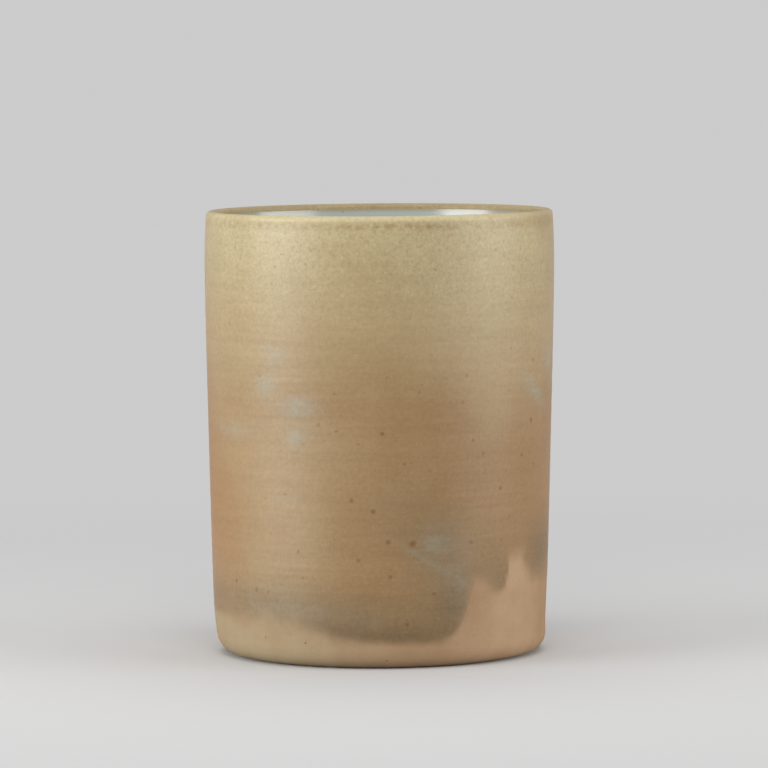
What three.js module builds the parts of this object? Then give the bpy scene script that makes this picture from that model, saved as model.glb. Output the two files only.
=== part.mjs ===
// A wheel-thrown stoneware tumbler: a straight-sided drinking cup without a handle.
// Millimetres, +Z up. The origin is the centre of the foot, on the plane that the cup stands on.
// The front of the cup, where the slip leaves a tongue of bare clay to the right, faces -Y.
//
// The fired cup is three layers, one mesh each:
//   stoneware_body  the thrown clay: dished foot, wall, lip and floor
//   liner_glaze     the glossy glaze inside, from the floor up to a line just under the lip
//   slip_coat       the thin matt slip outside, over the lip and down to a lobed edge above the foot

import * as THREE from "three";

// Outside of the clay, from the lip down
const CUP_HEIGHT = 102.1; // standing plane to the crest of the clay lip
const RIM_RADIUS = 39.8; // where the lip starts to round over
const BELLY_SWELL = 0.32; // how far the widest ring stands out from the rim
const BELLY_BELOW_CREST = 10; // how far under the crest the widest ring is
const MIDDLE_DRAW_IN = 0.4; // how far the wall is drawn in from the rim, halfway down to the heel
const HEEL_DRAW_IN = 1.45; // the same at the heel, where the wall turns in to the foot
const HEEL_HEIGHT = 12.3;
const SHOULDER_DRAW_IN = 1.85; // the same at the shoulder, where the rounded edge of the foot ends
const SHOULDER_HEIGHT = 4.6;

// Foot
const FOOT_EDGE_REACH = 5.35; // how far in from the shoulder the flat standing ring starts
const FOOT_RING_WIDTH = 7;
const FOOT_DISH_DEPTH = 0.9; // the trimmed dish inside the ring

// Thickness of the clay
const LIP_THICKNESS = 1.7;
const MIDDLE_WALL = 3;
const HEEL_WALL = 4;
const FLOOR_THICKNESS = 5;
const FLOOR_CURVE_RADIUS = 8; // the finger's curve between floor and wall

// Coats on the clay
const GLAZE_THICKNESS = 0.45;
const GLAZE_EDGE_THICKNESS = 0.15; // the glaze thins out along its line
const GLAZE_LINE_BELOW_CREST = 1.5;
const SLIP_THICKNESS = 0.2;
const BOND_GAP = 0.03; // clearance that keeps a coat and the clay two separate solids
const COAT_JOINT = 0.1; // clearance between the slip's inner edge and the glaze line

// The slip's lower edge is the union of round-ended lobes. Each lobe has the angle of its middle, in
// degrees from the front towards +X, the height that its lowest point reaches down to, and half its width.
const SLIP_LOBES = [
  { angle: -62, reach: 7.6, halfWidth: 50 },
  { angle: 0, reach: 5.7, halfWidth: 36 },
  { angle: 46, reach: 16.2, halfWidth: 9.5 },
  { angle: 80, reach: 18.2, halfWidth: 21 },
  { angle: 128, reach: 12, halfWidth: 27 },
  { angle: 178, reach: 8.5, halfWidth: 30 },
  { angle: 228, reach: 10.5, halfWidth: 30 },
];
const LOBE_RISE = 12; // how far a lobe's edge climbs from its lowest point to its half width
const LOBE_SQUARENESS = 6; // the power of that climb: a higher one gives a flatter bottom
const BARE_TONGUE_TOP = 25; // no bare clay shows above this height

// Facets
const TURN_STEPS = 72; // round the axis
const STATION_STEPS = 3; // along the wall, between two stations
const FOOT_EDGE_STEPS = 5;
const DISH_STEPS = 3;
const HALF_LIP_STEPS = 3; // from the rim to the crest, and again from the crest to the inside
const FLOOR_CURVE_STEPS = 4;

// Sizes that follow
const LIP_RADIUS = LIP_THICKNESS / 2;
const LIP_HEIGHT = CUP_HEIGHT - LIP_RADIUS;
const BELLY_RADIUS = RIM_RADIUS + BELLY_SWELL;
const BELLY_HEIGHT = CUP_HEIGHT - BELLY_BELOW_CREST;
const MIDDLE_RADIUS = RIM_RADIUS - MIDDLE_DRAW_IN;
const MIDDLE_HEIGHT = (HEEL_HEIGHT + BELLY_HEIGHT) / 2;
const HEEL_RADIUS = RIM_RADIUS - HEEL_DRAW_IN;
const SHOULDER_RADIUS = RIM_RADIUS - SHOULDER_DRAW_IN;
const FOOT_RING_OUTER_RADIUS = SHOULDER_RADIUS - FOOT_EDGE_REACH;
const FOOT_RING_INNER_RADIUS = FOOT_RING_OUTER_RADIUS - FOOT_RING_WIDTH;
const FLOOR_CURVE_HEIGHT = FLOOR_THICKNESS + FLOOR_CURVE_RADIUS;
const GLAZE_LINE_HEIGHT = CUP_HEIGHT - GLAZE_LINE_BELOW_CREST;

// Profiles. A profile is a list of Vector2: x is the distance from the axis and y is the height.

/** A smooth profile through stations, with the same number of steps between each two of them. */
function curveThrough(stations) {
  const points = stations.map(([radius, height]) => new THREE.Vector3(radius, height, 0));
  const curve = new THREE.CatmullRomCurve3(points, false, "centripetal");
  const steps = STATION_STEPS * (stations.length - 1);
  return curve.getPoints(steps).map((point) => new THREE.Vector2(point.x, point.y));
}

/** The underside, from the axis out to the outer edge of the ring that the cup stands on. */
function footProfile() {
  const dish = new THREE.QuadraticBezierCurve(
    new THREE.Vector2(0, FOOT_DISH_DEPTH),
    new THREE.Vector2(FOOT_RING_INNER_RADIUS / 2, FOOT_DISH_DEPTH),
    new THREE.Vector2(FOOT_RING_INNER_RADIUS, 0),
  );
  return [...dish.getPoints(DISH_STEPS), new THREE.Vector2(FOOT_RING_OUTER_RADIUS, 0)];
}

/** The rounded edge of the foot, which runs into the wall along the line from shoulder to heel. */
function footEdgeProfile() {
  const lean = (HEEL_RADIUS - SHOULDER_RADIUS) / (HEEL_HEIGHT - SHOULDER_HEIGHT);
  const edge = new THREE.QuadraticBezierCurve(
    new THREE.Vector2(FOOT_RING_OUTER_RADIUS, 0),
    new THREE.Vector2(SHOULDER_RADIUS - lean * SHOULDER_HEIGHT, 0),
    new THREE.Vector2(SHOULDER_RADIUS, SHOULDER_HEIGHT),
  );
  return edge.getPoints(FOOT_EDGE_STEPS);
}

/** The outside wall, from the shoulder above the foot up to the lip. */
function outerWallProfile() {
  return curveThrough([
    [SHOULDER_RADIUS, SHOULDER_HEIGHT],
    [HEEL_RADIUS, HEEL_HEIGHT],
    [MIDDLE_RADIUS, MIDDLE_HEIGHT],
    [BELLY_RADIUS, BELLY_HEIGHT],
    [RIM_RADIUS, LIP_HEIGHT],
  ]);
}

/** The lip: a half round from the outside of the rim, over the crest, to the inside. */
function lipProfile() {
  const centreRadius = RIM_RADIUS - LIP_RADIUS;
  const halfRound = new THREE.EllipseCurve(centreRadius, LIP_HEIGHT, LIP_RADIUS, LIP_RADIUS, 0, Math.PI);
  return halfRound.getPoints(2 * HALF_LIP_STEPS);
}

/** The inside wall, from the lip down to the start of the floor's curve. */
function innerWallProfile() {
  return curveThrough([
    [RIM_RADIUS - LIP_THICKNESS, LIP_HEIGHT],
    [MIDDLE_RADIUS - MIDDLE_WALL, MIDDLE_HEIGHT],
    [HEEL_RADIUS - HEEL_WALL, FLOOR_CURVE_HEIGHT],
  ]);
}

/** The inside of the floor, from the foot of the inside wall to the axis. */
function floorProfile() {
  const curve = new THREE.EllipseCurve(
    HEEL_RADIUS - HEEL_WALL - FLOOR_CURVE_RADIUS,
    FLOOR_CURVE_HEIGHT,
    FLOOR_CURVE_RADIUS,
    FLOOR_CURVE_RADIUS,
    0,
    -Math.PI / 2,
    true,
  );
  return [...curve.getPoints(FLOOR_CURVE_STEPS), new THREE.Vector2(0, FLOOR_THICKNESS)];
}

/** Joins profiles end to end: the first point of each one is the last point of the one before. */
function joined(...profiles) {
  return profiles.flatMap((points, index) => (index === 0 ? points : points.slice(1)));
}

// Coats. A coat is worked out on the clay's own profile, so that its facets lie along the clay's.

/** The points of a profile with the direction in which a coat grows there: out of the clay. */
function withNormals(points) {
  return points.map((point, index) => {
    const before = points[Math.max(index - 1, 0)];
    const after = points[Math.min(index + 1, points.length - 1)];
    const along = new THREE.Vector2().subVectors(after, before).normalize();
    return { point, normal: new THREE.Vector2(along.y, -along.x) };
  });
}

/** The place between two places of a profile that lies at a given height. */
function placeAtHeight(lower, upper, height) {
  const share = (height - lower.point.y) / (upper.point.y - lower.point.y);
  return {
    point: lower.point.clone().lerp(upper.point, share),
    normal: lower.normal.clone().lerp(upper.normal, share).normalize(),
  };
}

/** Lifts the low end of a rising profile: places below a height move up to it, so that none is lost. */
function liftedTo(height, places) {
  const next = places.findIndex(({ point }) => point.y > height);
  const edge = placeAtHeight(places[next - 1], places[next], height);
  return places.map((place, index) => (index < next ? edge : place));
}

/** Cuts a falling profile at a height into the part above and the part below, which share the cut. */
function splitAt(height, places) {
  const next = places.findIndex(({ point }) => point.y < height);
  const cut = placeAtHeight(places[next], places[next - 1], height);
  return { above: [...places.slice(0, next), cut], below: [cut, ...places.slice(next)] };
}

/** Moves a place of a profile out of the clay. */
function raised({ point, normal }, distance) {
  return point.clone().addScaledVector(normal, distance);
}

/** A solid of revolution. Its profile starts and ends on the axis, with the outside on its right. */
function revolve(profile) {
  // A lathe turns its profile about the Y axis, so the solid is then tipped up to +Z.
  return new THREE.LatheGeometry(profile, TURN_STEPS).rotateX(Math.PI / 2);
}

/** A ring whose closed cross-section changes with the angle, from a list of profiles, one for each step. */
function sweepRound(profiles) {
  const size = profiles[0].length;
  const positions = profiles.flatMap((profile, column) => {
    const angle = (column / profiles.length) * 2 * Math.PI;
    return profile.flatMap(({ x, y }) => [x * Math.sin(angle), -x * Math.cos(angle), y]);
  });
  const triangles = profiles.flatMap((profile, column) => {
    const here = column * size;
    const there = ((column + 1) % profiles.length) * size;
    return profile.flatMap((point, row) => {
      const next = (row + 1) % size;
      return [here + row, there + row, there + next, here + row, there + next, here + next];
    });
  });
  const geometry = new THREE.BufferGeometry();
  geometry.setAttribute("position", new THREE.Float32BufferAttribute(positions, 3));
  geometry.setIndex(triangles);
  geometry.computeVertexNormals();
  return geometry;
}

const outerWall = joined(footEdgeProfile(), outerWallProfile());
const inside = joined(lipProfile(), innerWallProfile(), floorProfile());
const dipped = withNormals(joined(outerWall, inside));
const crest = outerWall.length - 1 + HALF_LIP_STEPS;

/** The thrown clay, in one closed turn from the dish of the foot to the middle of the floor. */
function stonewareBody() {
  return revolve(joined(footProfile(), outerWall, inside));
}

/** The glaze on the floor and the inside wall, thinning out where it ends under the lip. */
function linerGlaze() {
  const places = splitAt(GLAZE_LINE_HEIGHT, dipped.slice(crest)).below;
  const clayFace = places.map((place) => raised(place, BOND_GAP));
  const freeFace = places.map((place, index) =>
    raised(place, BOND_GAP + (index === 0 ? GLAZE_EDGE_THICKNESS : GLAZE_THICKNESS)),
  );
  return revolve([...clayFace.reverse(), ...freeFace]);
}

/** The height of the slip's lower edge at an angle in degrees: that of the lobe that reaches lowest there. */
function slipEdgeHeight(angle) {
  const heights = SLIP_LOBES.map((lobe) => {
    const away = THREE.MathUtils.euclideanModulo(angle - lobe.angle + 180, 360) - 180;
    const share = Math.abs(away) / lobe.halfWidth;
    return lobe.reach + LOBE_RISE * share ** LOBE_SQUARENESS;
  });
  return Math.min(BARE_TONGUE_TOP, ...heights);
}

/** The slip on the outside wall and over the lip, with its lobed lower edge. */
function slipCoat() {
  const rising = dipped.slice(0, crest);
  const overCrest = splitAt(GLAZE_LINE_HEIGHT + COAT_JOINT, dipped.slice(crest)).above;
  const columns = Array.from({ length: TURN_STEPS }, (unused, step) => {
    const edgeHeight = slipEdgeHeight((step / TURN_STEPS) * 360);
    const places = [...liftedTo(edgeHeight, rising), ...overCrest];
    const clayFace = places.map((place) => raised(place, BOND_GAP));
    const freeFace = places.map((place) => raised(place, BOND_GAP + SLIP_THICKNESS));
    return [...freeFace, ...clayFace.reverse()];
  });
  return sweepRound(columns);
}

const bareStoneware = new THREE.MeshStandardMaterial({ color: "#ae8d69", roughness: 0.85, metalness: 0 });
const paleGlaze = new THREE.MeshStandardMaterial({ color: "#c3cac6", roughness: 0.12, metalness: 0 });
const flashedSlip = new THREE.MeshStandardMaterial({ color: "#b39671", roughness: 0.62, metalness: 0 });

/** A mesh under the name that a person would call the piece. */
function named(name, geometry, material) {
  const mesh = new THREE.Mesh(geometry, material);
  mesh.name = name;
  return mesh;
}

const cup = new THREE.Group();
cup.add(
  named("stoneware_body", stonewareBody(), bareStoneware),
  named("liner_glaze", linerGlaze(), paleGlaze),
  named("slip_coat", slipCoat(), flashedSlip),
);

export default cup;
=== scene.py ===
"""A wheel-thrown stoneware tumbler, dressed for its portrait.

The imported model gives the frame: metres, +Z up, the foot standing on z = 0, the front towards -Y. Its three
layers are drawn again here as fine surfaces: the clay, the glossy liner inside and the thin matt slip
outside. Angles run round the axis from the front (-Y) towards the right (+X).
"""

from __future__ import annotations

import logging
import math
from dataclasses import dataclass
from enum import Enum

import bpy
import numpy as np
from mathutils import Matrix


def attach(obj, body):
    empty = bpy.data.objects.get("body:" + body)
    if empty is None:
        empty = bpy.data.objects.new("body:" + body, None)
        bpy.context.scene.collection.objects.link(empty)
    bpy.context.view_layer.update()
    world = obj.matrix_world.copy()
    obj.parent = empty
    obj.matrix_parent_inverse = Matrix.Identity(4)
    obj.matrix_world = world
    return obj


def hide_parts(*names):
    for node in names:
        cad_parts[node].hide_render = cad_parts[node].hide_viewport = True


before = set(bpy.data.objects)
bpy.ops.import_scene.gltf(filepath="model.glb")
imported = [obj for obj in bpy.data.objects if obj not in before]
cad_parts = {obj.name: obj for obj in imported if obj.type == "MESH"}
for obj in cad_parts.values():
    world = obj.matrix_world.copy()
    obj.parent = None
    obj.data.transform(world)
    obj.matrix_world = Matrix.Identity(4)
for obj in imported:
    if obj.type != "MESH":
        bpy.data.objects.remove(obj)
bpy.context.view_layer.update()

log = logging.getLogger("tumbler")

MM = 0.001
COLUMNS = 300
BODY = "root"


class Node(Enum):
    """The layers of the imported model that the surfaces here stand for."""

    CLAY = "stoneware_body"
    LINER = "liner_glaze"
    SLIP = "slip_coat"


class Slot(Enum):
    """The record's material slots."""

    CLAY = "stoneware"
    LINER = "liner_glaze"
    SLIP = "slip"


class Tint(Enum):
    """The numbers that the vertices of a piece carry for its finish."""

    THIN = "thin"
    SHALLOW = "shallow"
    COVER = "cover"
    ASH = "ash"
    # Peach flushing, and painted sheen on the left and right sides.
    FLUSH_AND_SHEEN = "flush_and_sheen"
    # Orange flashing, and painted shade at the left and right sides as seen from the front.
    EMBER_AND_SHADE = "ember_and_shade"
    SMOKE = "smoke"
    HAZE = "haze"
    SCORCH = "scorch"
    # Paler wear on the lip's crest, with a painted highlight laid on it.
    CREST_WEAR_AND_HIGHLIGHT = "crest"
    # Darker clay: painted shade low at the front of the foot, and a darker patch beside the tongue.
    FUME_AND_SHADE = "fume_and_shade"


# Profiles and rings


def catmull_rom(stations: np.ndarray, steps: int) -> np.ndarray:
    """A smooth curve through stations, with the same number of steps between each two.

    Centripetal Catmull-Rom: each stretch is a cubic whose end slopes come from its neighbours, weighted by
    the square roots of the distances between stations. One station is mirrored out past each end.

    Args:
        stations: Points as rows.
        steps: Steps in each stretch.

    Returns:
        The points of the curve as rows, both ends included.
    """
    first = 2 * stations[0] - stations[1]
    last = 2 * stations[-1] - stations[-2]
    points = np.vstack([first, stations, last])
    gaps = np.sqrt(np.linalg.norm(np.diff(points, axis=0), axis=1))[:, None]
    before, start, end, after = points[:-3], points[1:-2], points[2:-1], points[3:]
    gap_before, gap, gap_after = gaps[:-2], gaps[1:-1], gaps[2:]
    slope_in = (start - before) / gap_before - (end - before) / (gap_before + gap) + (end - start) / gap
    slope_out = (end - start) / gap - (after - start) / (gap + gap_after) + (after - end) / gap_after
    slope_in, slope_out = slope_in * gap, slope_out * gap
    share = np.linspace(0, 1, steps, endpoint=False)[:, None, None]
    square = 3 * (end - start) - 2 * slope_in - slope_out
    cube = 2 * (start - end) + slope_in + slope_out
    curve = start + slope_in * share + square * share**2 + cube * share**3
    return np.vstack([curve.transpose(1, 0, 2).reshape(-1, stations.shape[1]), stations[-1]])


def quadratic(start: np.ndarray, pull: np.ndarray, end: np.ndarray, steps: int) -> np.ndarray:
    """A curve from start to end that leaves and arrives along the lines to the pull point.

    Args:
        start: First point.
        pull: The point where the two end slopes meet.
        end: Last point.
        steps: Steps along the curve.

    Returns:
        The points of the curve as rows, both ends included.
    """
    share = np.linspace(0, 1, steps + 1)[:, None]
    return (1 - share) ** 2 * start + 2 * share * (1 - share) * pull + share**2 * end


def arc(centre: np.ndarray, radius: float, start: float, end: float, steps: int) -> np.ndarray:
    """A round stretch of a profile: centre plus radius times the cosine and sine of each angle.

    Args:
        centre: Distance from the axis and height of the centre.
        radius: Radius of the arc.
        start: First angle in radians, from straight out of the axis.
        end: Last angle in radians.
        steps: Steps along the arc.

    Returns:
        The points of the arc as rows, both ends included.
    """
    angle = np.linspace(start, end, steps + 1)
    return centre + radius * np.stack([np.cos(angle), np.sin(angle)], axis=1)


def respaced(path: np.ndarray, steps: int) -> np.ndarray:
    """The same line with evenly spaced points.

    Args:
        path: Points as rows.
        steps: Steps of equal length along the line.

    Returns:
        The new points as rows, both ends included.
    """
    length = np.concatenate([[0], np.cumsum(np.linalg.norm(np.diff(path, axis=0), axis=1))])
    wanted = np.linspace(0, length[-1], steps + 1)
    return np.stack([np.interp(wanted, length, path[:, axis]) for axis in range(path.shape[1])], axis=1)


def joined(*paths: np.ndarray) -> np.ndarray:
    """Joins lines end to end, where each one starts at the point that the one before ends at."""
    return np.vstack([paths[0], *[path[1:] for path in paths[1:]]])


def outward(path: np.ndarray) -> np.ndarray:
    """The unit vector on the right of a profile at each point: the direction out of the solid.

    Args:
        path: Points as rows.

    Returns:
        Vectors as rows.
    """
    along = np.gradient(path, axis=0)
    along /= np.linalg.norm(along, axis=1)[:, None]
    return np.stack([along[:, 1], -along[:, 0]], axis=1)


def smooth_step(value: np.ndarray, low: float, high: float) -> np.ndarray:
    """0 below low, 1 above high, and an S-curve between."""
    share = np.clip((value - low) / (high - low), 0, 1)
    return share * share * (3 - 2 * share)


def angles() -> np.ndarray:
    """The angle of each column round the axis, in radians."""
    return np.arange(COLUMNS) * 2 * np.pi / COLUMNS


def turned(radius: np.ndarray, height: np.ndarray) -> np.ndarray:
    """Rings about the axis: x is radius times sine of the angle, y is minus radius times its cosine.

    Args:
        radius: Distance from the axis for each row, or for each row and column.
        height: Height, in the same shape.

    Returns:
        Points as an array of rows, columns and three coordinates.
    """
    radius = np.broadcast_to(radius.reshape(len(radius), -1), (len(radius), COLUMNS))
    height = np.broadcast_to(height.reshape(len(height), -1), (len(height), COLUMNS))
    return np.stack([radius * np.sin(angles()), -radius * np.cos(angles()), height], axis=2)


class Ends(Enum):
    """How the first and last rings of a surface are closed."""

    POLES = "each ends in a point on the axis"
    LOOP = "the last ring joins the first"


def ring_surface(name: str, rings: np.ndarray, ends: Ends) -> bpy.types.Object:
    """A closed mesh from rings: each four neighbours make a quad, and each ring joins up with itself.

    Args:
        name: Name of the object and its mesh.
        rings: Points as rows, columns and three coordinates, with the outside on the right of the rows' path.
        ends: How the surface closes at its first and last rings.

    Returns:
        The object, linked to the scene, with smooth shading.
    """
    rows, columns = rings.shape[:2]
    index = np.arange(rows * columns).reshape(rows, columns)
    lower = index if ends is Ends.LOOP else index[:-1]
    upper = np.roll(index, -1, axis=0) if ends is Ends.LOOP else index[1:]
    beside = (np.roll(lower, -1, axis=1), np.roll(upper, -1, axis=1))
    quads = np.stack([lower, beside[0], beside[1], upper], axis=2).reshape(-1, 4)
    points = rings.reshape(-1, 3)
    fans = np.empty((0, 3), dtype=int)
    if ends is Ends.POLES:
        tips = np.stack([rings[0].mean(axis=0), rings[-1].mean(axis=0)])
        start, end = np.full(columns, len(points)), np.full(columns, len(points) + 1)
        fans = np.vstack([
            np.stack([index[0], start, np.roll(index[0], -1)], axis=1),
            np.stack([index[-1], np.roll(index[-1], -1), end], axis=1),
        ])
        points = np.vstack([points, tips])
    mesh = bpy.data.meshes.new(name)
    mesh.vertices.add(len(points))
    mesh.vertices.foreach_set("co", points.astype(np.float32).ravel())
    corners = np.concatenate([quads.ravel(), fans.ravel()])
    sizes = np.concatenate([np.full(len(quads), 4), np.full(len(fans), 3)])
    mesh.loops.add(len(corners))
    mesh.loops.foreach_set("vertex_index", corners.astype(np.int32))
    mesh.polygons.add(len(sizes))
    mesh.polygons.foreach_set("loop_start", (np.cumsum(sizes) - sizes).astype(np.int32))
    mesh.update(calc_edges=True)
    mesh.validate()
    mesh.shade_smooth()
    piece = bpy.data.objects.new(name, mesh)
    bpy.context.scene.collection.objects.link(piece)
    return piece


def paint(piece: bpy.types.Object, tint: Tint, values: np.ndarray) -> None:
    """Stores one number for each vertex, for a material to read.

    Args:
        piece: The piece.
        tint: What the numbers are for.
        values: The numbers of the first rows of vertices. The others get 0.
    """
    attribute = piece.data.attributes.new(tint.value, "FLOAT", "POINT")
    filled = np.zeros(len(piece.data.vertices), dtype=np.float32)
    filled[: values.size] = values.ravel()
    attribute.data.foreach_set("value", filled)


# The form


@dataclass(frozen=True)
class CupForm:
    """The clay's profile, in metres, and the small turns of the hand that made it.

    The finger ridges swell and fade a few times round the cup, and once in a number of their pitches.
    """

    height: float = 102.12 * MM
    rim_radius: float = 39.95 * MM
    belly_swell: float = 0.32 * MM
    belly_below_crest: float = 10 * MM
    middle_draw_in: float = 0.4 * MM
    heel_draw_in: float = 1.45 * MM
    heel_height: float = 12.3 * MM
    shoulder_draw_in: float = 1.85 * MM
    shoulder_height: float = 4.6 * MM
    foot_edge_reach: float = 6 * MM
    foot_ring_width: float = 7 * MM
    foot_dish_depth: float = 0.9 * MM
    trim_pitch: float = 2.3 * MM
    trim_depth: float = 0.05 * MM
    lip_thickness: float = 2 * MM
    neck_wall: float = 3.1 * MM
    middle_wall: float = 3.1 * MM
    heel_wall: float = 4 * MM
    floor_thickness: float = 5 * MM
    floor_curve_radius: float = 8 * MM
    bond_gap: float = 0.03 * MM
    glaze_line_below_crest: float = 1.25 * MM
    lean: float = 0.005
    foot_shift: float = 0.45 * MM
    foot_shift_top: float = 9 * MM
    finger_pitch: float = 5.3 * MM
    finger_depth: float = 0.016 * MM
    rib_pitch: float = 1.9 * MM
    rib_depth: float = 0.008 * MM
    ridge_swell: float = 0.4
    swells_round: int = 3
    swell_pitches: int = 8

    @property
    def lip_radius(self) -> float:
        """Half the thickness of the lip."""
        return self.lip_thickness / 2

    @property
    def lip_height(self) -> float:
        """Height of the centre of the lip's half round."""
        return self.height - self.lip_radius

    @property
    def middle_height(self) -> float:
        """Height halfway between the heel and the belly."""
        return (self.heel_height + self.height - self.belly_below_crest) / 2

    @property
    def foot_ring_outer(self) -> float:
        """Outer radius of the flat ring that the cup stands on."""
        return self.rim_radius - self.shoulder_draw_in - self.foot_edge_reach

    @property
    def glaze_line(self) -> float:
        """Height at which the liner ends and the slip begins, inside the lip."""
        return self.height - self.glaze_line_below_crest

    def underside(self, dish_steps: int, ring_steps: int) -> np.ndarray:
        """The dish of the foot and the flat ring round it, from the axis outwards.

        The trimming tool's grooves are a sine wave along the dish, which fades to nothing at both its ends.

        Args:
            dish_steps: Steps across the dish.
            ring_steps: Steps across the ring.

        Returns:
            Radius and height of each point.
        """
        ring_inner = self.foot_ring_outer - self.foot_ring_width
        dish = quadratic(
            np.array([0, self.foot_dish_depth]),
            np.array([ring_inner / 2, self.foot_dish_depth]),
            np.array([ring_inner, 0]),
            dish_steps,
        )
        share = dish[:, 0] / ring_inner
        fade = 4 * share * (1 - share)
        dish[:, 1] += self.trim_depth * fade * np.sin(2 * np.pi * dish[:, 0] / self.trim_pitch)
        ring = np.linspace([ring_inner, 0], [self.foot_ring_outer, 0], ring_steps + 1)
        return joined(dish, ring)

    def outer_path(self, steps: int = 400) -> np.ndarray:
        """The foot's rounded edge and the outside wall, from the standing ring up to the lip.

        Args:
            steps: Steps in each stretch of it.

        Returns:
            Radius and height of each point.
        """
        heel = self.rim_radius - self.heel_draw_in
        shoulder = self.rim_radius - self.shoulder_draw_in
        lean = (heel - shoulder) / (self.heel_height - self.shoulder_height)
        edge = quadratic(
            np.array([self.foot_ring_outer, 0]),
            np.array([shoulder - lean * self.shoulder_height, 0]),
            np.array([shoulder, self.shoulder_height]),
            steps,
        )
        wall = catmull_rom(
            np.array([
                [shoulder, self.shoulder_height],
                [heel, self.heel_height],
                [self.rim_radius - self.middle_draw_in, self.middle_height],
                [self.rim_radius + self.belly_swell, self.height - self.belly_below_crest],
                [self.rim_radius, self.lip_height],
            ]),
            steps,
        )
        return joined(edge, wall)

    def lip_path(self, steps: int) -> np.ndarray:
        """The half round of the lip, from the outside over the crest to the inside."""
        centre = np.array([self.rim_radius - self.lip_radius, self.lip_height])
        return arc(centre, self.lip_radius, 0, np.pi, steps)

    def inner_path(self, steps: int = 400) -> np.ndarray:
        """The inside wall, from the lip down to the curve of the floor.

        Args:
            steps: Steps in each stretch of it.

        Returns:
            Radius and height of each point.
        """
        return catmull_rom(
            np.array([
                [self.rim_radius - self.lip_thickness, self.lip_height],
                [self.rim_radius + self.belly_swell - self.neck_wall, self.height - self.belly_below_crest],
                [self.rim_radius - self.middle_draw_in - self.middle_wall, self.middle_height],
                [self.rim_radius - self.heel_draw_in - self.heel_wall, self.floor_curve_height],
            ]),
            steps,
        )

    @property
    def floor_curve_height(self) -> float:
        """Height at which the inside wall starts to turn into the floor."""
        return self.floor_thickness + self.floor_curve_radius

    def floor_path(self, curve_steps: int, floor_steps: int) -> np.ndarray:
        """The finger's curve at the foot of the inside wall and the floor, in to the axis.

        Args:
            curve_steps: Steps along the curve.
            floor_steps: Steps across the floor.

        Returns:
            Radius and height of each point.
        """
        corner = self.rim_radius - self.heel_draw_in - self.heel_wall - self.floor_curve_radius
        centre = np.array([corner, self.floor_curve_height])
        curve = arc(centre, self.floor_curve_radius, 0, -np.pi / 2, curve_steps)
        floor = np.linspace([corner, self.floor_thickness], [0, self.floor_thickness], floor_steps + 1)
        return joined(curve, floor)

    def leaned(self, rings: np.ndarray) -> np.ndarray:
        """Lets the cup lean and its foot sit off its axis, as a thrown one does.

        A point moves to the right by the lean times its height above the middle, and by the foot's shift,
        which fades out along an S-curve between the ground and the top of the foot.

        Args:
            rings: Points as rows, columns and three coordinates.

        Returns:
            The moved points.
        """
        height = rings[..., 2]
        shift = self.foot_shift * (1 - smooth_step(height, 0, self.foot_shift_top))
        moved = rings.copy()
        moved[..., 0] += self.lean * (height - self.height / 2) + shift
        return moved

    def spun(self, path: np.ndarray) -> np.ndarray:
        """The rings of a profile turned about the axis, with the cup's lean."""
        return self.leaned(turned(path[:, 0], path[:, 1]))

    def ridges(self, height: np.ndarray) -> np.ndarray:
        """The faint spiral that the fingers left: how far the surface stands out, in metres.

        Two sine waves climb the wall as spirals, one turn for each pitch, and a slow wave round and up the
        cup makes them stronger and weaker.

        Args:
            height: Heights of the points, as rows and columns.

        Returns:
            The relief at each point.
        """
        coarse = np.sin(2 * np.pi * height / self.finger_pitch - angles())
        fine = np.sin(2 * np.pi * height / self.rib_pitch - angles())
        climb = 2 * np.pi * height / (self.swell_pitches * self.finger_pitch)
        swell = 1 - self.ridge_swell + self.ridge_swell * np.sin(self.swells_round * angles() + climb)
        return swell * (self.finger_depth * coarse + self.rib_depth * fine)

    def on_wall(self, angle: float, height: float) -> np.ndarray:
        """A point of the outside wall.

        Args:
            angle: Its angle in degrees.
            height: Its height in metres.

        Returns:
            Its three coordinates.
        """
        outer = self.outer_path()
        radius = np.interp(height, outer[:, 1], outer[:, 0])
        turn = math.radians(angle)
        return self.leaned(np.array([radius * math.sin(turn), -radius * math.cos(turn), height]))


@dataclass(frozen=True)
class Lobe:
    """One round-ended tongue of slip: the angle of its middle and half its width in degrees, and its reach.

    The reach is the height of its end in millimetres. The slant raises the end to the right, in millimetres
    for each degree.
    """

    angle: float
    reach: float
    half_width: float
    slant: float = 0


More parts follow.
